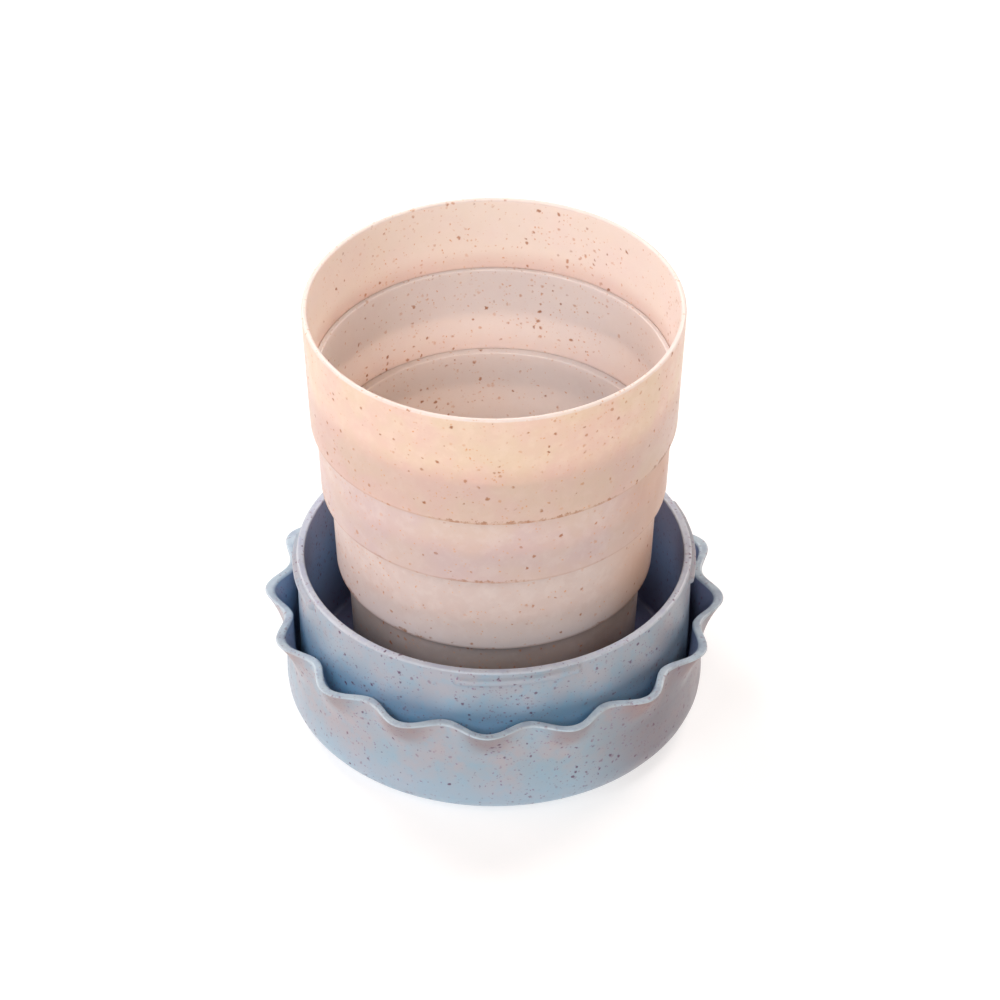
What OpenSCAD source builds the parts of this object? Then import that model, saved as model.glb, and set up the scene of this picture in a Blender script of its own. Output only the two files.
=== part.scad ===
// Collapsible travel cup: five telescoping rings stand in a round base, and the crown-shaped lid
// lies upside down underneath as the saucer.
// Millimetres, +Z up, with the origin at the middle of the face that the cup rests on.

/* [Rings] */
// Outer diameter of the drinking rim
rim_d = 76; // [74:0.5:78]
// Height of each of the four upper rings
ring_h = 26.3; // [25.5:0.1:26.8]
// Height of the lowest ring, which carries the floor of the cup
foot_ring_h = 19.4; // [19:0.1:20]
// Height that ring 2 keeps inside ring 1 with the cup pulled out
top_overlap = 10.3; // [9:0.1:12]
// Height that each lower ring keeps inside the ring above it with the cup pulled out
lock_overlap = 7.5; // [7.4:0.1:8.5]
// Thickness of the ring walls
ring_wall = 1.1; // [0.95:0.05:1.1]
// Radius that a ring gains for each millimetre of height
taper = 0.05; // [0.045:0.001:0.055]
// Radial step from ring 1 in to ring 2
step_2 = 1.13; // [1.13:0.01:1.2]
// Radial step from ring 2 in to ring 3
step_3 = 1.86; // [1.8:0.01:1.95]
// Radial step from ring 3 in to ring 4
step_4 = 2.13; // [2:0.01:2.16]
// Radial step from ring 4 in to ring 5
step_5 = 1.98; // [1.9:0.01:2.1]
// Thickness of the floor of the cup
cup_floor = 1.4; // [1.2:0.1:1.8]
// Height of the foot recess under the floor of the cup
foot_recess = 2.6; // [2.5:0.1:3]

/* [Base] */
// Height of the base from its foot to its mouth
base_h = 33.8; // [33:0.1:36]
// Radial room between the drinking rim and the mouth of the base
mouth_gap = 0.6; // [0.5:0.05:0.9]
// Thickness of the base wall
base_wall = 1.6; // [1.4:0.05:1.7]
// Height of the top of the base floor above the foot of the base
base_floor = 2.5; // [2.2:0.1:2.8]
// Height of the boss that centres the cup on the base floor
boss_h = 2.2; // [1.6:0.1:2.2]
// Number of thread segments on the base and in the lid
thread_count = 4; // [2:1:5]
// Angle that one thread segment sweeps, in degrees
thread_sweep = 37; // [30:1:42]
// Distance that a thread segment stands proud of its wall
thread_proud = 0.9; // [0.7:0.05:1]

/* [Lid] */
// Height of the lid from its flat face to its wavy edge
lid_h = 24.4; // [23:0.1:25.5]
// Thickness of the lid floor
lid_floor = 2; // [1.6:0.1:2.2]
// Thickness of the lid wall below the waves
lid_wall = 1.3; // [1.1:0.05:1.5]
// Number of waves around the edge of the lid
wave_count = 16; // [12:1:20]
// Height of the wavy band of the lid
wave_h = 9.8; // [8.5:0.1:11]
// Radial distance from a valley of the edge to a crest
wave_depth = 3.7; // [2.5:0.1:4]
// Thickness of the wavy edge at its top
lip_wall = 1.9; // [1.6:0.1:2.1]

/* [Hidden] */
$fn = 96;

// colours of the moulded plastics
BLUE = [0.64, 0.69, 0.74];
CREAM = [0.93, 0.84, 0.77];
ROSE = [0.89, 0.80, 0.76];
SAND = [0.82, 0.76, 0.73];

// radial play of a ring in its fit, heights of the seat at its foot and of the bead at its top,
// and the small chamfer that breaks its edges
fit_gap = 0.03;
seat_h = 3.5;
bead_h = 2.5;
edge = 0.2;

// heights of the feet of the rings with the cup pulled out
floor_z = lid_floor + base_floor;
foot_5 = floor_z;
foot_4 = foot_5 + foot_ring_h - lock_overlap;
foot_3 = foot_4 + ring_h - lock_overlap;
foot_2 = foot_3 + ring_h - lock_overlap;
foot_1 = foot_2 + ring_h - top_overlap;

// outer radii of the rings at their feet, each worked in from the ring around it
radius_1 = rim_d / 2 - taper * ring_h;
radius_2 = radius_1 - step_2 - taper * (foot_1 - foot_2);
radius_3 = radius_2 - step_3 - taper * (foot_2 - foot_3);
radius_4 = radius_3 - step_4 - taper * (foot_3 - foot_4);
radius_5 = radius_4 - step_5 - taper * (foot_4 - foot_5);

// base: radii at the mouth, lean of the wall towards the foot, corners, foot rim and boss
mouth_r = rim_d / 2 + mouth_gap;
base_r = mouth_r + base_wall;
base_lean = 0.6;
base_corner = 3;
floor_corner = 1;
base_foot_h = 0.8;
base_foot_w = 2;
boss_gap = 0.3;
boss_r = radius_5 - ring_wall - boss_gap;

// threads: section, rise along one segment, play between the two, depth below the mouth, and the
// directions that the first segments face
thread_root = 2;
thread_crest = 1;
thread_slope = (thread_root - thread_crest) / 2 / thread_proud;
thread_bury = 0.6;
thread_rise = 0.8;
thread_play = 0.2;
thread_drop = 1;
base_thread_z = lid_floor + base_h - thread_drop - thread_root / 2;
base_thread_turn = -83;
lid_thread_z = lid_floor + thread_drop + 1.5 * thread_root + thread_play;
lid_thread_turn = -38;

// lid: radii, corners, and the wavy band that grows out of the top of the wall
lid_gap = 0.25;
lid_inner = base_r + thread_proud + lid_gap;
lid_outer = lid_inner + lid_wall;
lid_corner = 6.2;
lid_inner_corner = 4.5;
wave_z = lid_h - wave_h;
wave_turn = -1.9;
wave_steps = 8;
valley_flare = 0.75;
band_steps = 7;
band_join = 1;
band_lap = 0.05;
lip_round = 0.35;

// what is left of a radial step beside the wall and its play: the depth of a seat or a bead
function spare(step) = step - ring_wall - fit_gap;

// an outline without the corners that fall on the next one
function distinct(points) = [
    for (i = [0 : len(points) - 1])
        if (norm(points[i] - points[(i + 1) % len(points)]) > 0.001) points[i]
];

// Section of one ring. seat is the depth of the step inside its foot, which grips the ring within,
// bead is the height of the step around its top, which the seat of the ring outside catches, and
// top_edge is the chamfer of its upper edges.
module ring_section(foot_r, h, seat, bead, top_edge) {
    bead_z = h - bead_h;
    function outer(z) = foot_r + taper * z;
    function inner(z) = outer(z) - ring_wall;
    polygon(distinct([
        [foot_r - edge, 0],
        [outer(edge), edge],
        [outer(bead_z - bead), bead_z - bead],
        [outer(bead_z) + bead, bead_z],
        [outer(h - top_edge) + bead, h - top_edge],
        [outer(h) + bead - top_edge, h],
        [inner(h) + top_edge, h],
        [inner(h - top_edge), h - top_edge],
        [inner(seat_h + seat), seat_h + seat],
        [inner(seat_h) - seat, seat_h],
        [inner(edge) - seat, edge],
        [inner(0) - seat + edge, 0],
    ]));
}

module ring_1() {
    wall_h = ring_h - ring_wall / 2;
    color(CREAM)
        translate([0, 0, foot_1])
            rotate_extrude()
                union() {
                    ring_section(radius_1, wall_h, spare(step_2), 0, 0);
                    // rounded drinking rim
                    translate([radius_1 + taper * wall_h - ring_wall / 2, wall_h])
                        circle(d = ring_wall);
                }
}

module ring_2() {
    color(CREAM)
        translate([0, 0, foot_2])
            rotate_extrude()
                ring_section(radius_2, ring_h, spare(step_3), spare(step_2), edge);
}

module ring_3() {
    color(ROSE)
        translate([0, 0, foot_3])
            rotate_extrude()
                ring_section(radius_3, ring_h, spare(step_4), spare(step_3), edge);
}

module ring_4() {
    color(SAND)
        translate([0, 0, foot_4])
            rotate_extrude()
                ring_section(radius_4, ring_h, spare(step_5), spare(step_4), edge);
}

module ring_5() {
    color(SAND)
        translate([0, 0, foot_5])
            rotate_extrude()
                union() {
                    ring_section(radius_5, foot_ring_h, 0, spare(step_5), edge);
                    // floor of the cup, raised over its foot recess
                    translate([0, foot_recess])
                        square([radius_5 - ring_wall / 2, cup_floor]);
                }
}

// One thread segment, a short band tilted about its own middle so that it climbs as a screw does.
// side is 1 where it stands out from its wall and -1 where it stands in.
module thread_segment(wall_r, z, turn, side) {
    tilt = atan(thread_rise / (2 * wall_r * sin(thread_sweep / 2)));
    root_r = wall_r - side * thread_bury;
    crest_r = wall_r + side * thread_proud;
    root_half = thread_root / 2 + thread_slope * thread_bury;
    rotate([0, 0, turn])
        translate([0, 0, z])
            rotate([tilt, 0, 0])
                rotate([0, 0, -thread_sweep / 2])
                    rotate_extrude(angle = thread_sweep)
                        polygon([
                            [root_r, -root_half],
                            [crest_r, -thread_crest / 2],
                            [crest_r, thread_crest / 2],
                            [root_r, root_half],
                        ]);
}

module base() {
    foot_r = base_r - base_lean;
    corner_r = foot_r - base_corner;
    floor_r = mouth_r - base_lean;
    rim_z = base_h - base_wall / 2;
    color(BLUE) {
        translate([0, 0, lid_floor])
            rotate_extrude()
                difference() {
                    union() {
                        translate([corner_r, base_corner])
                            circle(r = base_corner);
                        polygon([
                            [0, 0],
                            [corner_r, 0],
                            [corner_r, base_corner],
                            [foot_r, base_corner],
                            [base_r, rim_z],
                            [0, rim_z],
                        ]);
                        // rounded mouth
                        translate([base_r - base_wall / 2, rim_z])
                            circle(d = base_wall);
                    }
                    // hollow above the floor
                    polygon([
                        [0, base_floor],
                        [floor_r - floor_corner, base_floor],
                        [floor_r, base_floor + floor_corner],
                        [mouth_r, rim_z],
                        [0, rim_z],
                    ]);
                    // recess under the floor, inside the rim that the base stands on
                    square([corner_r - base_foot_w, base_foot_h]);
                }
        // boss that centres the cup
        translate([0, 0, floor_z - base_foot_h])
            cylinder(h = boss_h + base_foot_h, r = boss_r);
        for (i = [0 : thread_count - 1])
            thread_segment(base_r, base_thread_z, base_thread_turn + 360 * i / thread_count, 1);
    }
}

// share of a full crest at an angle from the first crest, from 0 in a valley to 1 on a crest
function crest_share(angle) = (1 + cos(wave_count * angle)) / 2;

// outer radius and thickness of the wavy band, where u runs from 0 at its foot to 1 at its edge
function band_outer(angle, u) =
    lid_outer + band_lap + valley_flare * pow(u, 1.3) + wave_depth * pow(u, 1.8) * crest_share(angle);
function band_wall(u) = lid_wall + 2 * band_lap + (lip_wall - lid_wall) * u;

// The wavy band: rows of points go up the outside, over the lip and down the inside. Each row has
// its height share and how far it lies into the wall, from 0 outside to 1 inside. Its foot is
// sunk into the plain wall.
module wavy_band() {
    count = wave_count * wave_steps;
    foot_u = -band_join / wave_h;
    side_u = [for (i = [0 : band_steps]) i / band_steps * (1 - lip_round / wave_h)];
    lip_in = lip_round / lip_wall;
    rows = concat(
        [[foot_u, 0.25]],
        [for (u = side_u) [u, 0]],
        [[1, lip_in], [1, 1 - lip_in]],
        [for (i = [band_steps : -1 : 0]) [side_u[i], 1]],
        [[foot_u, 0.75]]
    );
    points = [
        for (row = rows, i = [0 : count - 1])
            let (
                angle = 360 * i / count,
                u = max(row[0], 0),
                r = band_outer(angle, u) - row[1] * band_wall(u)
            )
                [r * cos(angle), r * sin(angle), wave_z + row[0] * wave_h]
    ];
    // two triangles between each pair of neighbours and the next row
    faces = [
        for (j = [0 : len(rows) - 1], i = [0 : count - 1])
            let (
                next_i = (i + 1) % count,
                here = j * count,
                above = (j + 1) % len(rows) * count
            )
                each [
                    [here + i, above + next_i, here + next_i],
                    [here + i, above + i, above + next_i],
                ]
    ];
    polyhedron(points, faces, convexity = 6);
}

module lid() {
    color(BLUE) {
        rotate_extrude()
            difference() {
                union() {
                    translate([lid_outer - lid_corner, lid_corner])
                        circle(r = lid_corner);
                    square([lid_outer - lid_corner, lid_corner]);
                    translate([0, lid_corner])
                        square([lid_outer, wave_z - lid_corner]);
                }
                translate([lid_inner - lid_inner_corner, lid_floor + lid_inner_corner])
                    circle(r = lid_inner_corner);
                translate([0, lid_floor])
                    square([lid_inner - lid_inner_corner, wave_z]);
                translate([0, lid_floor + lid_inner_corner])
                    square([lid_inner, wave_z]);
            }
        rotate([0, 0, wave_turn])
            wavy_band();
        for (i = [0 : thread_count - 1])
            thread_segment(lid_inner, lid_thread_z, lid_thread_turn + 360 * i / thread_count, -1);
    }
}

lid();
base();
ring_1();
ring_2();
ring_3();
ring_4();
ring_5();
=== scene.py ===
import math

import bpy
import numpy as np
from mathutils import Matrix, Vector


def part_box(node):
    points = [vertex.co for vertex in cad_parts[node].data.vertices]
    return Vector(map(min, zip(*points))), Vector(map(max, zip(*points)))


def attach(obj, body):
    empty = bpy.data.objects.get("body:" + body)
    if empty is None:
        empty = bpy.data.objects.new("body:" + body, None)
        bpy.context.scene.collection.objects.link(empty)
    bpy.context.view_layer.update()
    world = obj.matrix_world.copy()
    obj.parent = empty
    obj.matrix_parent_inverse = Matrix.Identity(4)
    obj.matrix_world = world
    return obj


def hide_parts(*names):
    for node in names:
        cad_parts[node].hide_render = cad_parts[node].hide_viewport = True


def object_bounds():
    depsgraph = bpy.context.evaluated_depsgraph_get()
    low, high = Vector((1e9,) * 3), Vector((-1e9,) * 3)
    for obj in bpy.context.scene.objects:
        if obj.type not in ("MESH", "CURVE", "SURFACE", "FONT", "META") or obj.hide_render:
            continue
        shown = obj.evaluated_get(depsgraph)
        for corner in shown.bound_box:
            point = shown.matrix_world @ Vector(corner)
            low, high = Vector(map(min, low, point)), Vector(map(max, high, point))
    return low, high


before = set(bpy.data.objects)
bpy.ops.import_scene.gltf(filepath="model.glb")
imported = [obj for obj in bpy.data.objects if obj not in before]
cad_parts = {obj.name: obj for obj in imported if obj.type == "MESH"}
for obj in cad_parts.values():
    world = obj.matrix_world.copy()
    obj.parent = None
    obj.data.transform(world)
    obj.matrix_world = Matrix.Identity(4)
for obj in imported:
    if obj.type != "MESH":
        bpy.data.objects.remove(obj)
cad_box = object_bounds()

# ---------------------------------------------------------------- sizes, in metres and degrees

MM = 0.001

# rings: radius gained for each unit of height, wall, seat at the foot, bead at the top, edges,
# drinking rim, floor of the cup and the recess under it
TAPER = 0.05
RING_WALL = 1.1 * MM
SEAT_HEIGHT = 3.5 * MM
BEAD_HEIGHT = 2.5 * MM
RING_EDGE = 0.22 * MM
RIM_ROUND = 0.47 * RING_WALL
CUP_FLOOR = 1.4 * MM
CUP_FLOOR_CORNER = 0.8 * MM
FOOT_RECESS = 2.6 * MM

# depth of the bead around the top of each ring, and of the seat inside its foot
BEADS = {"ring_1": 0, "ring_2": 0, "ring_3": 0.73 * MM, "ring_4": 1.0 * MM, "ring_5": 0.85 * MM}
SEATS = {"ring_1": 0, "ring_2": 0.73 * MM, "ring_3": 1.0 * MM, "ring_4": 0.85 * MM, "ring_5": 0}

# base
BASE_WALL = 1.6 * MM
BASE_LEAN = 0.6 * MM
MOUTH_ROUND = 0.45 * MM
BASE_CORNER = 3 * MM
BASE_FLOOR = 2.5 * MM
BASE_FLOOR_CORNER = 1 * MM
BASE_FOOT_HEIGHT = 0.8 * MM
BASE_FOOT_WIDTH = 2 * MM
BOSS_HEIGHT = 2.2 * MM
BOSS_GAP = 0.3 * MM

# threads
THREAD_COUNT = 4
THREAD_SWEEP = 37
THREAD_PROUD = 0.9 * MM
THREAD_ROOT = 2 * MM
THREAD_CREST = 1 * MM
THREAD_RISE = 0.8 * MM
THREAD_END = 0.7 * MM
THREAD_DROP = 1 * MM
THREAD_PLAY = 0.2 * MM
BASE_THREAD_TURN = -83
LID_THREAD_TURN = -38

# lid: the waves turn about the axis by WAVE_TURN, and the curves are powers of the height
LID_WALL = 1.3 * MM
LID_FLOOR = 2 * MM
LID_CORNER = 6.2 * MM
LID_INNER_CORNER = 4.5 * MM
LID_GAP = 0.25 * MM
LIP_WALL = 1.9 * MM
LIP_ROUND = 0.38 * MM
WAVE_COUNT = 16
WAVE_HEIGHT = 9.8 * MM
WAVE_DEPTH = 3.7 * MM
WAVE_TURN = -1.9
VALLEY_FLARE = 0.75 * MM
VALLEY_CURVE = 1.3
CREST_CURVE = 1.8

# how finely the surfaces are drawn
ARC_STEP = math.radians(15)
WALL_STEP = 1.5 * MM
FINE_STEP = 0.5 * MM
THREAD_STEP = 0.2 * MM
EDGE_SUPPORT = 0.12 * MM
SHORTEST_STRAIGHT = 4 * EDGE_SUPPORT
RING_COLUMNS = 240
BASE_COLUMNS = 480
LID_COLUMNS = WAVE_COUNT * 40


# ---------------------------------------------------------------- drawing turned pieces


def corner_run(before, here, after, rounding):
    """The points of one corner of an outline: the corner itself, or an arc that rounds it."""
    if rounding == 0:
        return [here]
    back = (before - here) / np.linalg.norm(before - here)
    ahead = (after - here) / np.linalg.norm(after - here)
    half = math.acos(np.clip(back @ ahead, -1, 1)) / 2
    middle = (back + ahead) / np.linalg.norm(back + ahead)
    centre = here + middle * rounding / math.sin(half)
    start = here + back * rounding / math.tan(half) - centre
    end = here + ahead * rounding / math.tan(half) - centre
    sweep = math.pi - 2 * half
    steps = max(3, math.ceil(sweep / ARC_STEP))
    shares = [k / steps for k in range(steps + 1)]
    return [
        centre + (start * math.sin((1 - s) * sweep) + end * math.sin(s * sweep)) / math.sin(sweep)
        for s in shares
    ]


def straight_run(start, end, step):
    """Points between two ends of a straight, with one close to each end to keep edges crisp."""
    length = np.linalg.norm(end - start)
    if length < SHORTEST_STRAIGHT:
        return []
    near = EDGE_SUPPORT / length
    pieces = max(1, math.ceil(length / step))
    shares = [near] + [k / pieces for k in range(1, pieces)] + [1 - near]
    shares = [s for s in shares if near <= s <= 1 - near]
    return [start + (end - start) * s for s in shares]


def outline_points(corners, closed):
    """An outline drawn in full. Each corner is (radius, height, rounding, step after it)."""
    count = len(corners)
    spots = [np.array(c[:2]) for c in corners]
    runs = []
    for i in range(count):
        rounding = corners[i][2]
        runs.append(corner_run(spots[i - 1], spots[i], spots[(i + 1) % count], rounding))
    points = []
    for i in range(count):
        points += runs[i]
        if closed or i < count - 1:
            points += straight_run(runs[i][-1], runs[(i + 1) % count][0], corners[i][3])
    return np.array(points)


def lathe(name, corners, columns, closed, bend=None):
    """A turned mesh. A closed outline makes a ring, and an open one starts and ends on the axis.
    bend moves the points out and in by their angle around the axis."""
    outline = outline_points(corners, closed)
    rows = outline if closed else outline[1:-1]
    angles = np.arange(columns) * 2 * math.pi / columns
    radius = np.repeat(rows[:, :1], columns, axis=1)
    height = np.repeat(rows[:, 1:], columns, axis=1)
    if bend:
        radius = bend(angles, radius, height)
    points = np.stack([radius * np.cos(angles), radius * np.sin(angles), height], axis=-1)
    points = points.reshape(-1, 3).tolist()
    grid = np.arange(len(points)).reshape(len(rows), columns)
    if closed:
        grid = np.vstack([grid, grid[:1]])
    turned = np.roll(grid, -1, axis=1)
    quads = np.stack([grid[:-1], turned[:-1], turned[1:], grid[1:]], axis=-1)
    faces = quads.reshape(-1, 4).tolist()
    if not closed:
        first, last = len(points), len(points) + 1
        points += [(0, 0, outline[0][1]), (0, 0, outline[-1][1])]
        faces += [[first, b, a] for a, b in zip(grid[0].tolist(), turned[0].tolist())]
        faces += [[last, a, b] for a, b in zip(grid[-1].tolist(), turned[-1].tolist())]
    mesh = bpy.data.meshes.new(name)
    mesh.from_pydata(points, [], faces)
    if not faces_point_out(mesh):
        mesh.flip_normals()
    mesh.shade_smooth()
    mesh.update()
    piece = bpy.data.objects.new(name, mesh)
    bpy.context.scene.collection.objects.link(piece)
    return piece


def faces_point_out(mesh):
    """Whether a closed mesh has a positive volume."""
    mesh.calc_loop_triangles()
    points = np.array([v.co for v in mesh.vertices])
    a, b, c = points[np.array([t.vertices for t in mesh.loop_triangles])].transpose(1, 0, 2)
    return np.einsum("ij,ij->", a, np.cross(b, c)) > 0


def smooth(share):
    """An S-shaped ramp that is 0 up to 0 and 1 from 1 on."""
    share = np.clip(share, 0, 1)
    return share * share * (3 - 2 * share)


# ---------------------------------------------------------------- the pieces

base_low, base_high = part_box("base")
lid_low, lid_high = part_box("lid")
base_radius = base_high.x - THREAD_PROUD


def foot_radius(node):
    """Outer radius of a ring at its foot."""
    low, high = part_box(node)
    return high.x - BEADS[node] - TAPER * (high.z - low.z - RING_EDGE)


def make_ring(node):
    """One ring of the cup. ring_5 has the cup's floor too."""
    low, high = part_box(node)
    foot_r, foot_z, top_z = foot_radius(node), low.z, high.z
    bead, seat = BEADS[node], SEATS[node]
    top_round = RIM_ROUND if node == "ring_1" else RING_EDGE

    def outer(z):
        return foot_r + TAPER * (z - foot_z)

    def inner(z):
        return outer(z) - RING_WALL

    corners = [(outer(foot_z), foot_z, RING_EDGE, WALL_STEP)]
    if bead:
        step_z = top_z - BEAD_HEIGHT
        corners += [
            (outer(step_z - bead), step_z - bead, RING_EDGE, FINE_STEP),
            (outer(step_z) + bead, step_z, RING_EDGE, WALL_STEP),
        ]
    corners += [
        (outer(top_z) + bead, top_z, top_round, WALL_STEP),
        (inner(top_z), top_z, top_round, WALL_STEP),
    ]
    if node == "ring_5":
        under_z = foot_z + FOOT_RECESS
        floor_z = under_z + CUP_FLOOR
        start = [
            (0, under_z, 0, WALL_STEP),
            (inner(under_z), under_z, RING_EDGE, WALL_STEP),
            (inner(foot_z), foot_z, RING_EDGE, WALL_STEP),
        ]
        end = [
            (inner(floor_z), floor_z, CUP_FLOOR_CORNER, WALL_STEP),
            (0, floor_z, 0, WALL_STEP),
        ]
        return lathe("ring_5_wall", start + corners + end, RING_COLUMNS, False)
    if seat:
        step_z = foot_z + SEAT_HEIGHT
        corners += [
            (inner(step_z + seat), step_z + seat, RING_EDGE, FINE_STEP),
            (inner(step_z) - seat, step_z, RING_EDGE, WALL_STEP),
        ]
    corners += [(inner(foot_z) - seat, foot_z, RING_EDGE, WALL_STEP)]
    return lathe(node + "_wall", corners, RING_COLUMNS, True)


def thread_share(angles, heights, wall_radius, middle_z, turn):
    """How far the threads stand out at each angle and height of their wall, from 0 to 1."""
    pitch = 2 * math.pi / THREAD_COUNT
    half = math.radians(THREAD_SWEEP) / 2
    along = (angles - math.radians(turn) + pitch / 2) % pitch - pitch / 2
    away = np.abs(heights - middle_z - THREAD_RISE * along / (2 * half))
    across = smooth((THREAD_ROOT / 2 - away) / (THREAD_ROOT / 2 - THREAD_CREST / 2))
    return across * smooth((half - np.abs(along)) / (THREAD_END / wall_radius))


def make_base():
    """The base: a round case with a boss on its floor and threads under its mouth."""
    bottom, top = base_low.z, base_high.z
    mouth_r = base_radius - BASE_WALL
    foot_r = base_radius - BASE_LEAN
    floor_z = bottom + BASE_FLOOR
    recess_r = foot_r - BASE_CORNER - BASE_FOOT_WIDTH
    boss_r = foot_radius("ring_5") - RING_WALL - BOSS_GAP
    thread_z = top - THREAD_DROP - THREAD_ROOT / 2
    below_thread = thread_z - THREAD_ROOT / 2 - THREAD_RISE
    lean = BASE_LEAN * (top - below_thread) / (top - bottom)
    corners = [
        (0, bottom + BASE_FOOT_HEIGHT, 0, WALL_STEP),
        (recess_r, bottom + BASE_FOOT_HEIGHT, RING_EDGE, WALL_STEP),
        (recess_r, bottom, RING_EDGE, WALL_STEP),
        (foot_r, bottom, BASE_CORNER, WALL_STEP),
        (base_radius - lean, below_thread, 0, THREAD_STEP),
        (base_radius, top, MOUTH_ROUND, WALL_STEP),
        (mouth_r, top, MOUTH_ROUND, WALL_STEP),
        (mouth_r - BASE_LEAN, floor_z, BASE_FLOOR_CORNER, WALL_STEP),
        (boss_r, floor_z, RING_EDGE, WALL_STEP),
        (boss_r, floor_z + BOSS_HEIGHT, RING_EDGE, WALL_STEP),
        (0, floor_z + BOSS_HEIGHT, 0, WALL_STEP),
    ]

    def bend(angles, radius, height):
        share = thread_share(angles, height, base_radius, thread_z, BASE_THREAD_TURN)
        outside = radius > base_radius - BASE_WALL / 2
        return radius + np.where(outside, THREAD_PROUD * share, 0)

    return lathe("base_case", corners, BASE_COLUMNS, False, bend)


def make_lid():
    """The lid, upside down as the saucer, with threads inside and waves around its edge."""
    bottom, top = lid_low.z, lid_high.z
    inner = base_radius + THREAD_PROUD + LID_GAP
    outer = inner + LID_WALL
    floor_z = bottom + LID_FLOOR
    wave_z = top - WAVE_HEIGHT
    thread_z = floor_z + THREAD_DROP + 1.5 * THREAD_ROOT + THREAD_PLAY
    above_thread = thread_z + THREAD_ROOT / 2 + THREAD_RISE
    corners = [
        (0, bottom, 0, WALL_STEP),
        (outer, bottom, LID_CORNER, WALL_STEP),
        (outer, wave_z, 0, FINE_STEP),
        (outer, top, LIP_ROUND, WALL_STEP),
        (inner, top, LIP_ROUND, FINE_STEP),
        (inner, wave_z, 0, WALL_STEP),
        (inner, above_thread, 0, THREAD_STEP),
        (inner, floor_z, LID_INNER_CORNER, WALL_STEP),
        (0, floor_z, 0, WALL_STEP),
    ]

    def bend(angles, radius, height):
        rise = np.clip((height - wave_z) / WAVE_HEIGHT, 0, 1)
        crest = (1 + np.cos(WAVE_COUNT * (angles - math.radians(WAVE_TURN)))) / 2
        flare = VALLEY_FLARE * rise**VALLEY_CURVE + WAVE_DEPTH * rise**CREST_CURVE * crest
        inward = np.clip((outer - radius) / LID_WALL, 0, 1) * (LIP_WALL - LID_WALL) * rise
        share = thread_share(angles, height, inner, thread_z, LID_THREAD_TURN)
        inside = (radius < inner + LID_WALL / 2) & (height > floor_z)
        return radius + flare - inward - np.where(inside, THREAD_PROUD * share, 0)

    return lathe("saucer_lid", corners, LID_COLUMNS, False, bend)


# ---------------------------------------------------------------- materials


def linear(red, green, blue):
    """A colour given as sRGB levels from 0 to 255, as Blender's linear values."""
    levels = [c / 255 for c in (red, green, blue)]
    return (*[c / 12.92 if c <= 0.04045 else ((c + 0.055) / 1.055) ** 2.4 for c in levels], 1)


# colour and gloss of all the plastic. Each noise is (scale, detail, roughness of the detail),
# and its levels are those where what it drives starts and is full
CLOUD_NOISE, CLOUD_LEVELS, CLOUD_STRENGTH = (110, 2, 0.5), (0.35, 0.65), 0.8
MOTTLE_NOISE, MOTTLE_LEVELS, MOTTLE_STRENGTH = (380, 3, 0.6), (0.42, 0.7), 0.5
GLOSS_NOISE, GLOSS_LEVELS, GLOSS_SPREAD = (140, 3, 0.6), (0.3, 0.7), (-0.05, 0.07)
SPECK_ROUGHNESS = 0.12
PLASTIC_IOR = 1.47

# relief: fine skin, and shares of skin and specks in it
SKIN_NOISE = (1900, 3, 0.55)
SKIN_SHARE = 0.35
SPECK_SHARE = 0.25
RELIEF_STRENGTH = 0.35
RELIEF_DEPTH = 0.12 * MM

# specks: how they crowd, how their edge fades in shares of their radius, and how noise bends them
CROWD_NOISE, CROWD_LEVELS, CROWD_SPREAD = (55, 2, 0.5), (0.35, 0.65), (0.5, 1.5)
SPECK_BLUR = 0.6
SMALLEST_SPECK = 0.3
FAINTEST_SPECK = 0.3
WARP_NOISE = (1100, 2, 0.5)
WARP_AMOUNT = 0.9 * MM

# fibre specks (spacing, size, share filled, colour, other colour, strength): brown, orange and
# tan in the cream plastic, purple-brown and mauve in the blue
BROWN = linear(150, 90, 48)
ORANGE = linear(206, 138, 72)
TAN = linear(214, 170, 118)
PLUM = linear(80, 42, 80)
RUST = linear(126, 64, 92)
MAUVE = linear(128, 92, 130)
CREAM_SPECKS = [
    (1.35 * MM, 0.58 * MM, 0.38, BROWN, ORANGE, 0.95),
    (0.72 * MM, 0.32 * MM, 0.45, ORANGE, TAN, 0.75),
]
BLUE_SPECKS = [
    (1.25 * MM, 0.54 * MM, 0.52, PLUM, RUST, 0.95),
    (0.68 * MM, 0.31 * MM, 0.62, MAUVE, RUST, 0.75),
]

# brown line of fibre at the feet of the rings
FOOT_LINE = linear(160, 112, 80)
FOOT_LINE_HEIGHT = 0.7 * MM
FOOT_LINE_FULL = 0.4 * FOOT_LINE_HEIGHT
STRETCH_NOISE, STRETCH_LEVELS = (60, 2, 0.5), (0.45, 0.62)
CLUMP_NOISE, CLUMP_THICK_LEVELS, CLUMP_DARK_LEVELS = (650, 3, 0.7), (0.4, 0.7), (0.4, 0.6)
FOOT_LINE_PATCHES = 0.55
FOOT_LINE_FAINT = 0.28

# pale top edge, a painted highlight: its height, and how strong it is by the mottle
EDGE_HIGHLIGHT_HEIGHT = 0.3 * MM
EDGE_HIGHLIGHT_LEVELS, EDGE_HIGHLIGHT_SPREAD = (0.3, 0.6), (0.55, 0.9)
EDGE_HIGHLIGHT_BLUE = linear(182, 198, 208)
EDGE_HIGHLIGHT_GREY = linear(188, 196, 206)
EDGE_HIGHLIGHT_CREAM = linear(226, 213, 208)

# light that goes into the plastic: share, depth, and depth of each colour
CREAM_GLOW = (0.5, 3.0 * MM, (1.0, 0.88, 0.8))
BLUE_GLOW = (0.15, 0.4 * MM, (0.8, 0.9, 1.0))
CREAM_ROUGHNESS = 0.36
BLUE_ROUGHNESS = 0.35
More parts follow.
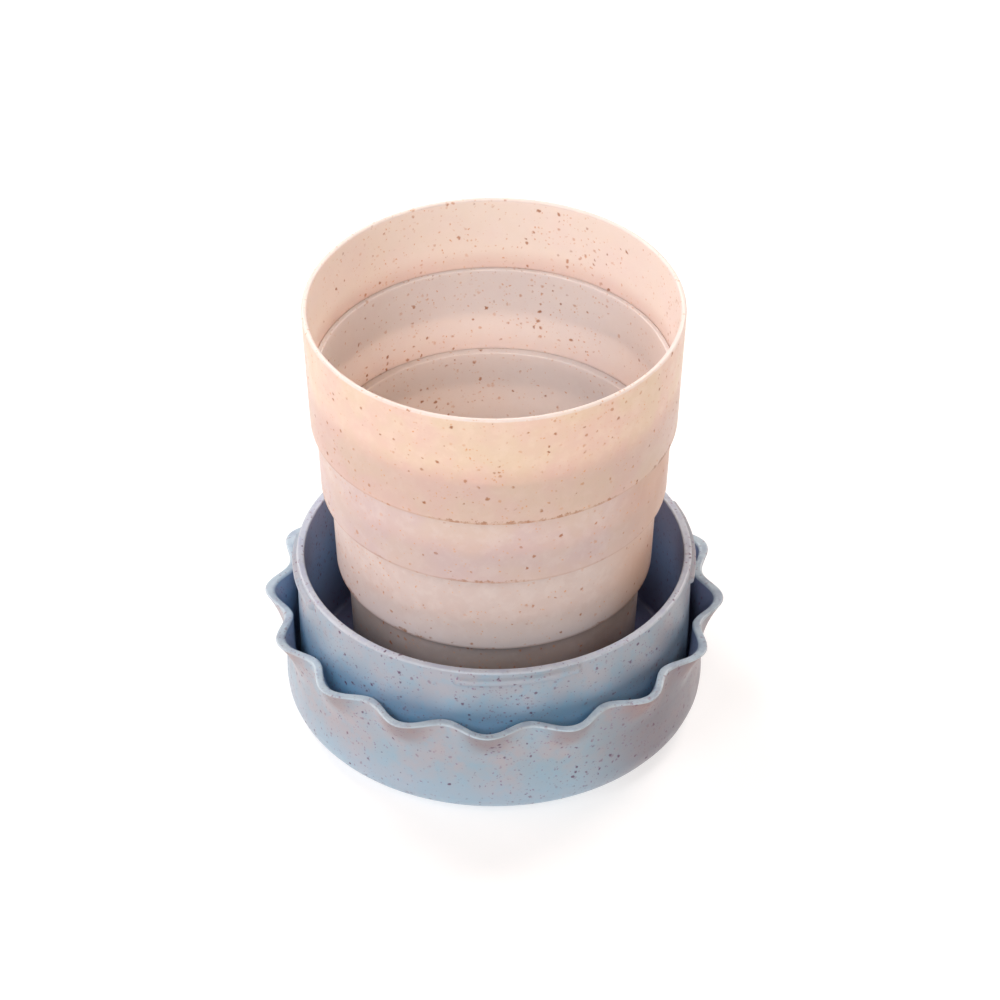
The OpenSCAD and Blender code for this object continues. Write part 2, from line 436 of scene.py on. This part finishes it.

# painted light and shade inside (colour, strength): the cream is lighter inside the rings,
# painted light, and the blue darker inside the base and the lid, painted shade. Inside starts
# where a wall faces the axis, and upward faces count as if they leaned in by INSIDE_LEAN
CREAM_INSIDE_LIGHT = (linear(250, 240, 236), 0.65)
BASE_INSIDE_SHADE = (linear(138, 154, 210), 0.45)
LID_INSIDE_SHADE = (linear(80, 114, 164), 0.5)
INSIDE_FULL, INSIDE_NONE = -8 * MM, 4 * MM
INSIDE_LEAN = 20 * MM
# painted shade, dark brown, low inside the base
DEEP_SHADE_BROWN = linear(86, 44, 54)
DEEP_SHADE_BROWN_STRENGTH = 0.6

# painted shade and light low down outside: a saturated blue painted shade on the base's wall,
# painted light on the lid's lower wall and on ring_3's foot
BASE_LOW_SHADE = linear(88, 174, 224)
BASE_LOW_SHADE_STRENGTH = 0.54
LID_LOW_LIGHT = linear(158, 184, 203)
LID_LOW_LIGHT_STRENGTH = 0.6
RING_FOOT_LIGHT = linear(228, 220, 218)
RING_FOOT_LIGHT_STRENGTH = 0.6

# painted warm shade on the right side, browner and darker (start and full x in shares of the
# piece's radius, colour, strength)
BLUE_SIDE_SHADE = linear(122, 103, 107)
CREAM_SIDE_SHADE = linear(190, 144, 110)
LID_SIDE_SHADE = (0.35, 0.85, BLUE_SIDE_SHADE, 0.72)
BASE_SIDE_SHADE = (0.5, 0.95, BLUE_SIDE_SHADE, 0.3)
RING_SIDE_SHADES = {
    "ring_2": (0.6, 0.95, CREAM_SIDE_SHADE, 0.7),
    "ring_3": (0.6, 0.95, CREAM_SIDE_SHADE, 0.58),
}

# painted warm shade under the crests of the waves, by how far the wall faces down
OVERHANG_SHADE = linear(134, 92, 82)
OVERHANG_SHADE_STRENGTH = 0.58
OVERHANG_SHADE_FULL, OVERHANG_SHADE_NONE = -0.55, -0.12

# painted shade on a ring where another wall lies behind it, as less light comes through two walls
OVERLAP_SHADE = linear(186, 148, 142)
OVERLAP_SHADE_BLUR = 5 * MM
OVERLAP_SHADE_STRENGTHS = {"ring_1": 0.35, "ring_2": 0.2, "ring_3": 0.05, "ring_4": 0.05}

# a colour for each piece and the two that mottle it
BASE_TONES = (linear(157, 171, 184), linear(169, 168, 176), linear(138, 173, 193))
LID_TONES = (linear(150, 168, 181), linear(173, 163, 167), linear(138, 171, 189))
# the rings below ring_1 are darker and greyer, ring_4 darkest: painted shade on one cream plastic
RING_TONES = {
    "ring_1": (linear(218, 196, 174), linear(220, 190, 178), linear(226, 205, 188)),
    "ring_2": (linear(203, 184, 173), linear(199, 179, 177), linear(210, 196, 190)),
    "ring_3": (linear(202, 187, 181), linear(199, 181, 174), linear(210, 198, 192)),
    "ring_4": (linear(172, 161, 155), linear(166, 154, 148), linear(181, 171, 166)),
    "ring_5": (linear(186, 173, 166), linear(180, 167, 159), linear(196, 185, 178)),
}


class Nodes:
    """Short ways to add shader nodes to one material."""

    def __init__(self, name):
        self.material = bpy.data.materials.new(name)
        self.material.use_nodes = True
        self.tree = self.material.node_tree
        self.shader = self.tree.nodes["Principled BSDF"]
        coordinates = self.add("ShaderNodeTexCoord")
        self.place = coordinates.outputs["Object"]
        self.direction = coordinates.outputs["Normal"]

    def add(self, kind, **settings):
        node = self.tree.nodes.new(kind)
        for key, value in settings.items():
            setattr(node, key, value)
        return node

    def put(self, value, socket):
        """Links a socket to another, or sets it to a value."""
        if isinstance(value, bpy.types.NodeSocket):
            self.tree.links.new(value, socket)
        else:
            socket.default_value = value

    def split(self, vector):
        """The x, y and z of a vector."""
        node = self.add("ShaderNodeSeparateXYZ")
        self.put(vector, node.inputs[0])
        return node.outputs["X"], node.outputs["Y"], node.outputs["Z"]

    def noise(self, scale, detail, rough):
        node = self.add("ShaderNodeTexNoise")
        self.put(self.place, node.inputs["Vector"])
        node.inputs["Scale"].default_value = scale
        node.inputs["Detail"].default_value = detail
        node.inputs["Roughness"].default_value = rough
        return node

    def math(self, operation, a, b):
        node = self.add("ShaderNodeMath", operation=operation)
        self.put(a, node.inputs[0])
        self.put(b, node.inputs[1])
        return node.outputs[0]

    def ramp(self, value, low, high, out_low=0.0, out_high=1.0, kind="SMOOTHSTEP"):
        """A value that goes from out_low to out_high while another goes from low to high."""
        node = self.add("ShaderNodeMapRange", interpolation_type=kind)
        self.put(value, node.inputs["Value"])
        node.inputs["From Min"].default_value = low
        node.inputs["From Max"].default_value = high
        self.put(out_low, node.inputs["To Min"])
        self.put(out_high, node.inputs["To Max"])
        return node.outputs["Result"]

    def mix(self, share, a, b):
        node = self.add("ShaderNodeMix", data_type="RGBA")
        sockets = {s.identifier: s for s in node.inputs}
        self.put(share, sockets["Factor_Float"])
        self.put(a, sockets["A_Color"])
        self.put(b, sockets["B_Color"])
        return next(s for s in node.outputs if s.identifier == "Result_Color")


class Plastic(Nodes):
    """Moulded plastic with plant fibre in it. It starts with tones, a colour and the two that
    mottle it, and each tint or layer after that lies over the ones before."""

    def __init__(self, name, tones):
        super().__init__(name)
        plain, clouded, mottled = tones
        cloud = self.noise(*CLOUD_NOISE).outputs["Fac"]
        self.mottle = self.noise(*MOTTLE_NOISE).outputs["Fac"]
        self.colour = plain
        self.paint(self.ramp(cloud, *CLOUD_LEVELS, 0, CLOUD_STRENGTH), clouded)
        self.paint(self.ramp(self.mottle, *MOTTLE_LEVELS, 0, MOTTLE_STRENGTH), mottled)
        self.x, y, self.height = self.split(self.place)
        facing_x, facing_y, self.facing_up = self.split(self.direction)
        outward = self.math("MULTIPLY", self.x, facing_x)
        outward = self.math("ADD", outward, self.math("MULTIPLY", y, facing_y))
        lean = self.math("MULTIPLY", self.facing_up, INSIDE_LEAN)
        outward = self.math("SUBTRACT", outward, lean)
        self.inside = self.ramp(outward, INSIDE_FULL, INSIDE_NONE, 1, 0)
        self.raised = 0.0

    def paint(self, share, colour):
        self.colour = self.mix(share, self.colour, colour)

    def paint_low_shading(self, full_z, end_z, colour, strength):
        """Painted shading, lighter or darker by its colour, up to full_z that fades out by end_z.
        """
        self.paint(self.ramp(self.height, full_z, end_z, strength, 0), colour)

    def paint_right_shade(self, radius, side_shade):
        """Painted warm shade on the right of a piece of this radius."""
        start, full, colour, strength = side_shade
        self.paint(self.ramp(self.x, start * radius, full * radius, 0, strength), colour)

    # painted shading inside: painted light in the rings, painted shade in the base and the lid
    def paint_inside_shading(self, colour, strength):
        self.paint(self.math("MULTIPLY", self.inside, strength), colour)

    def paint_deep_shade_inside(self, full_z, end_z, colour, strength):
        """Painted shade inside up to full_z that fades out by end_z."""
        low = self.ramp(self.height, full_z, end_z, strength, 0)
        self.paint(self.math("MULTIPLY", self.inside, low), colour)

    def paint_overhang_shade(self, start_z, full_z):
        """Painted warm shade where the wall leans out over its foot, from start_z up."""
        under = self.ramp(self.facing_up, OVERHANG_SHADE_FULL, OVERHANG_SHADE_NONE, 1, 0)
        share = self.math("MULTIPLY", under, self.ramp(self.height, start_z, full_z))
        self.paint(self.math("MULTIPLY", share, OVERHANG_SHADE_STRENGTH), OVERHANG_SHADE)

    def paint_edge_highlight(self, top_z, colour):
        """A pale, uneven painted highlight along the edge at the top of a piece."""
        start_z = top_z - 2 * EDGE_HIGHLIGHT_HEIGHT
        highlight_band = self.ramp(self.height, start_z, start_z + EDGE_HIGHLIGHT_HEIGHT)
        uneven = self.ramp(self.mottle, *EDGE_HIGHLIGHT_LEVELS, *EDGE_HIGHLIGHT_SPREAD)
        self.paint(self.math("MULTIPLY", highlight_band, uneven), colour)

    def warped_place(self):
        """The place on the piece, pushed about by noise, so that specks aren't round."""
        noise = self.noise(*WARP_NOISE)
        move = self.add("ShaderNodeVectorMath", operation="MULTIPLY_ADD")
        self.put(noise.outputs["Color"], move.inputs[0])
        move.inputs[1].default_value = (WARP_AMOUNT, WARP_AMOUNT, WARP_AMOUNT)
        self.put(self.place, move.inputs[2])
        return move.outputs[0]

    def speck_mask(self, place, spacing, size, share):
        """Specks in places about spacing apart, up to size in radius, of which a share is filled,
        more in some parts than in others. Gives their mask and a random number for each."""
        cells = self.add("ShaderNodeTexVoronoi", feature="F1")
        self.put(place, cells.inputs["Vector"])
        cells.inputs["Scale"].default_value = 1 / spacing
        parts = self.add("ShaderNodeSeparateColor")
        self.put(cells.outputs["Color"], parts.inputs[0])
        fewest, most = CROWD_SPREAD
        crowd = self.noise(*CROWD_NOISE).outputs["Fac"]
        crowd = self.ramp(crowd, *CROWD_LEVELS, fewest * share, most * share)
        present = self.math("LESS_THAN", parts.outputs[0], crowd)
        reach = size / spacing
        radius = self.ramp(parts.outputs[1], 0, 1, SMALLEST_SPECK * reach, reach, "LINEAR")
        depth = self.math("SUBTRACT", radius, cells.outputs["Distance"])
        mask = self.ramp(depth, 0, SPECK_BLUR * reach)
        return self.math("MULTIPLY", mask, present), parts.outputs[2]

    def speckle(self, specks):
        """Fibre specks of a few sizes, which also stand out a little."""
        place = self.warped_place()
        for spacing, size, share, colour, other, strength in specks:
            mask, pick = self.speck_mask(place, spacing, size, share)
            fade = self.ramp(pick, 0, 1, strength, strength * FAINTEST_SPECK, "LINEAR")
            self.paint(self.math("MULTIPLY", mask, fade), self.mix(pick, colour, other))
            self.raised = self.math("MAXIMUM", mask, self.raised)

    def foot_line(self, foot_z):
        """A broken, thin brown line where fibres gather at the foot of a ring."""
        above = self.math("SUBTRACT", self.height, foot_z)
        clumps = self.noise(*CLUMP_NOISE).outputs["Fac"]
        stretches = self.ramp(self.noise(*STRETCH_NOISE).outputs["Fac"], *STRETCH_LEVELS)
        thick = self.ramp(clumps, *CLUMP_THICK_LEVELS, 0, FOOT_LINE_HEIGHT)
        above = self.math("SUBTRACT", above, self.math("MULTIPLY", stretches, thick))
        line = self.ramp(above, FOOT_LINE_FULL, FOOT_LINE_HEIGHT, 1, 0)
        patches = self.ramp(clumps, *CLUMP_DARK_LEVELS, 0, FOOT_LINE_PATCHES)
        patches = self.math("MULTIPLY", stretches, patches)
        patches = self.math("ADD", patches, FOOT_LINE_FAINT)
        self.paint(self.math("MULTIPLY", line, patches), FOOT_LINE)

    def finish(self, roughness, glow):
        """Puts the colour on the shader, with uneven gloss, relief and light that goes in."""
        inputs = self.shader.inputs
        self.put(self.colour, inputs["Base Color"])
        uneven = self.noise(*GLOSS_NOISE).outputs["Fac"]
        glossiest, dullest = GLOSS_SPREAD
        gloss = self.ramp(uneven, *GLOSS_LEVELS, roughness + glossiest, roughness + dullest)
        dull_specks = self.math("MULTIPLY", self.raised, SPECK_ROUGHNESS)
        self.put(self.math("ADD", gloss, dull_specks), inputs["Roughness"])
        skin = self.noise(*SKIN_NOISE).outputs["Fac"]
        relief = self.math("ADD", self.math("MULTIPLY", skin, SKIN_SHARE), uneven)
        relief = self.math("ADD", relief, self.math("MULTIPLY", self.raised, SPECK_SHARE))
        bump = self.add("ShaderNodeBump")
        bump.inputs["Strength"].default_value = RELIEF_STRENGTH
        bump.inputs["Distance"].default_value = RELIEF_DEPTH
        self.put(relief, bump.inputs["Height"])
        self.put(bump.outputs["Normal"], inputs["Normal"])
        inputs["IOR"].default_value = PLASTIC_IOR
        weight, depth, radius = glow
        inputs["Subsurface Weight"].default_value = weight
        inputs["Subsurface Scale"].default_value = depth
        inputs["Subsurface Radius"].default_value = radius
        return self.material


def lid_plastic():
    wave_z = lid_high.z - WAVE_HEIGHT
    n = Plastic("lid_plastic", LID_TONES)
    n.paint_low_shading(lid_low.z + LID_CORNER / 2, wave_z, LID_LOW_LIGHT, LID_LOW_LIGHT_STRENGTH)
    n.paint_right_shade(base_radius, LID_SIDE_SHADE)
    n.paint_inside_shading(*LID_INSIDE_SHADE)
    n.paint_overhang_shade(wave_z, wave_z + WAVE_HEIGHT / 2)
    n.paint_edge_highlight(lid_high.z, EDGE_HIGHLIGHT_BLUE)
    n.speckle(BLUE_SPECKS)
    return n.finish(BLUE_ROUGHNESS, BLUE_GLOW)


def base_plastic():
    lip_z = lid_high.z
    floor_z = base_low.z + BASE_FLOOR
    half = WAVE_HEIGHT / 2
    n = Plastic("base_plastic", BASE_TONES)
    n.paint_low_shading(lip_z - half, base_high.z - half, BASE_LOW_SHADE, BASE_LOW_SHADE_STRENGTH)
    n.paint_right_shade(base_radius, BASE_SIDE_SHADE)
    n.paint_inside_shading(*BASE_INSIDE_SHADE)
    n.paint_deep_shade_inside(floor_z, base_high.z - WAVE_HEIGHT, DEEP_SHADE_BROWN, DEEP_SHADE_BROWN_STRENGTH)
    n.paint_edge_highlight(base_high.z, EDGE_HIGHLIGHT_GREY)
    n.speckle(BLUE_SPECKS)
    return n.finish(BLUE_ROUGHNESS, BLUE_GLOW)


def ring_plastic(node, inner_node):
    """The plastic of a ring, where inner_node is the ring inside it, if any."""
    low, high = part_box(node)
    n = Plastic(node + "_plastic", RING_TONES[node])
    if node == "ring_3":
        n.paint_low_shading(low.z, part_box(inner_node)[1].z, RING_FOOT_LIGHT, RING_FOOT_LIGHT_STRENGTH)
    if node in RING_SIDE_SHADES:
        n.paint_right_shade(foot_radius(node), RING_SIDE_SHADES[node])
    n.paint_inside_shading(*CREAM_INSIDE_LIGHT)
    if inner_node:
        overlap_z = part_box(inner_node)[1].z
        n.paint_low_shading(overlap_z, overlap_z + OVERLAP_SHADE_BLUR, OVERLAP_SHADE, OVERLAP_SHADE_STRENGTHS[node])
    if node == "ring_1":
        n.paint_edge_highlight(high.z, EDGE_HIGHLIGHT_CREAM)
    n.speckle(CREAM_SPECKS)
    n.foot_line(low.z)
    return n.finish(CREAM_ROUGHNESS, CREAM_GLOW)


def finish_piece(piece, node, material):
    """Gives a piece its material, and puts it on its body in place of its CAD node."""
    piece.data.materials.append(material)
    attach(piece, node)
    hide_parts(node)


def build_object():
    finish_piece(make_lid(), "lid", lid_plastic())
    finish_piece(make_base(), "base", base_plastic())
    rings = list(RING_TONES)
    for node, inner_node in zip(rings, rings[1:] + [None]):
        finish_piece(make_ring(node), node, ring_plastic(node, inner_node))


# ---------------------------------------------------------------- camera, floor and lights

CAMERA_DISTANCE = 1.122
CAMERA_ELEVATION = 37.46
CAMERA_LENS = 200
CAMERA_SENSOR = 36
CAMERA_ASIDE = 1.2 * MM
CAMERA_CLIP = (0.05, 30)

FLOOR_SIZE = 60
FLOOR_TONES = (linear(178, 178, 179), linear(182, 182, 182))
FLOOR_NOISE = (3, 2, 0.5)
FLOOR_ROUGHNESS = 0.85
FLOOR_GLOW = 0.6

# lights: name, place, width of the disc, power in watts, colour
LIGHT_AIM = (0, 0, 0.05)
LIGHTS = [
    ("front_left", (-0.7, -0.8, 1.1), 0.7, 6.5, (0.96, 1.0, 1.04)),
    ("front_right", (0.7, -0.8, 1.1), 0.7, 2.4, (1.4, 0.78, 0.25)),
    ("front", (0, -1.25, 0.85), 0.7, 6.8, (0.95, 1.0, 1.07)),
    ("left", (-1.2, 0, 0.6), 0.8, 5.4, (1.22, 0.86, 0.74)),
    ("back_left", (-0.7, 0.9, 1.0), 0.7, 12, (1.05, 1.0, 0.97)),
    ("back_right", (0.7, 0.9, 1.0), 0.7, 13, (1.1, 0.98, 0.93)),
    ("top", (0, 0, 1.6), 1.2, 1, (1.0, 1.0, 1.0)),
]

# light from all round, stronger at the horizon, which is below this z of the direction
WORLD_COLOUR = (0.97, 0.98, 1.0, 1)
WORLD_LIGHT = 0.02
HORIZON_LIGHT = 0.5
HORIZON_FADE = (0.1, 0.2)


def make_camera():
    low, high = cad_box
    aim = (low + high) / 2
    aim.x = CAMERA_ASIDE
    rise = math.radians(CAMERA_ELEVATION)
    back = Vector((0, -math.cos(rise), math.sin(rise)))
    data = bpy.data.cameras.new("camera")
    data.lens = CAMERA_LENS
    data.sensor_width = CAMERA_SENSOR
    data.clip_start, data.clip_end = CAMERA_CLIP
    camera = bpy.data.objects.new("camera", data)
    camera.location = aim + back * CAMERA_DISTANCE
    camera.rotation_euler = (-back).to_track_quat("-Z", "Y").to_euler()
    bpy.context.scene.collection.objects.link(camera)
    bpy.context.scene.camera = camera


def floor_paint():
    n = Nodes("floor_paint")
    tone = n.mix(n.noise(*FLOOR_NOISE).outputs["Fac"], *FLOOR_TONES)
    n.put(tone, n.shader.inputs["Base Color"])
    n.shader.inputs["Roughness"].default_value = FLOOR_ROUGHNESS
    n.shader.inputs["Emission Color"].default_value = (1, 1, 1, 1)
    n.shader.inputs["Emission Strength"].default_value = FLOOR_GLOW
    return n.material


def make_floor():
    mesh = bpy.data.meshes.new("floor")
    half = FLOOR_SIZE / 2
    corners = [(-half, -half, 0), (half, -half, 0), (half, half, 0), (-half, half, 0)]
    mesh.from_pydata(corners, [], [(0, 1, 2, 3)])
    mesh.materials.append(floor_paint())
    floor = bpy.data.objects.new("floor", mesh)
    bpy.context.scene.collection.objects.link(floor)


def add_light(name, place, size, power, colour):
    """A soft round light that points at the middle of the object."""
    data = bpy.data.lights.new(name, "AREA")
    data.shape = "DISK"
    data.size = size
    data.energy = power
    data.color = colour
    light = bpy.data.objects.new(name, data)
    light.location = place
    aim = Vector(LIGHT_AIM) - Vector(place)
    light.rotation_euler = aim.to_track_quat("-Z", "Y").to_euler()
    bpy.context.scene.collection.objects.link(light)


def make_world():
    """A faint light from all round, and a pale horizon, so that low views have no dark band."""
    world = bpy.data.worlds.new("studio")
    world.use_nodes = True
    tree = world.node_tree
    background = tree.nodes["Background"]
    background.inputs["Color"].default_value = WORLD_COLOUR
    coordinates = tree.nodes.new("ShaderNodeTexCoord")
    direction = tree.nodes.new("ShaderNodeSeparateXYZ")
    tree.links.new(coordinates.outputs["Generated"], direction.inputs[0])
    fade = tree.nodes.new("ShaderNodeMapRange")
    tree.links.new(direction.outputs["Z"], fade.inputs["Value"])
    fade.inputs["From Min"].default_value, fade.inputs["From Max"].default_value = HORIZON_FADE
    fade.inputs["To Min"].default_value = HORIZON_LIGHT
    fade.inputs["To Max"].default_value = WORLD_LIGHT
    tree.links.new(fade.outputs["Result"], background.inputs["Strength"])
    bpy.context.scene.world = world


make_camera()
make_floor()
for light in LIGHTS:
    add_light(*light)
make_world()
bpy.context.scene.view_settings.view_transform = "Standard"
build_object()
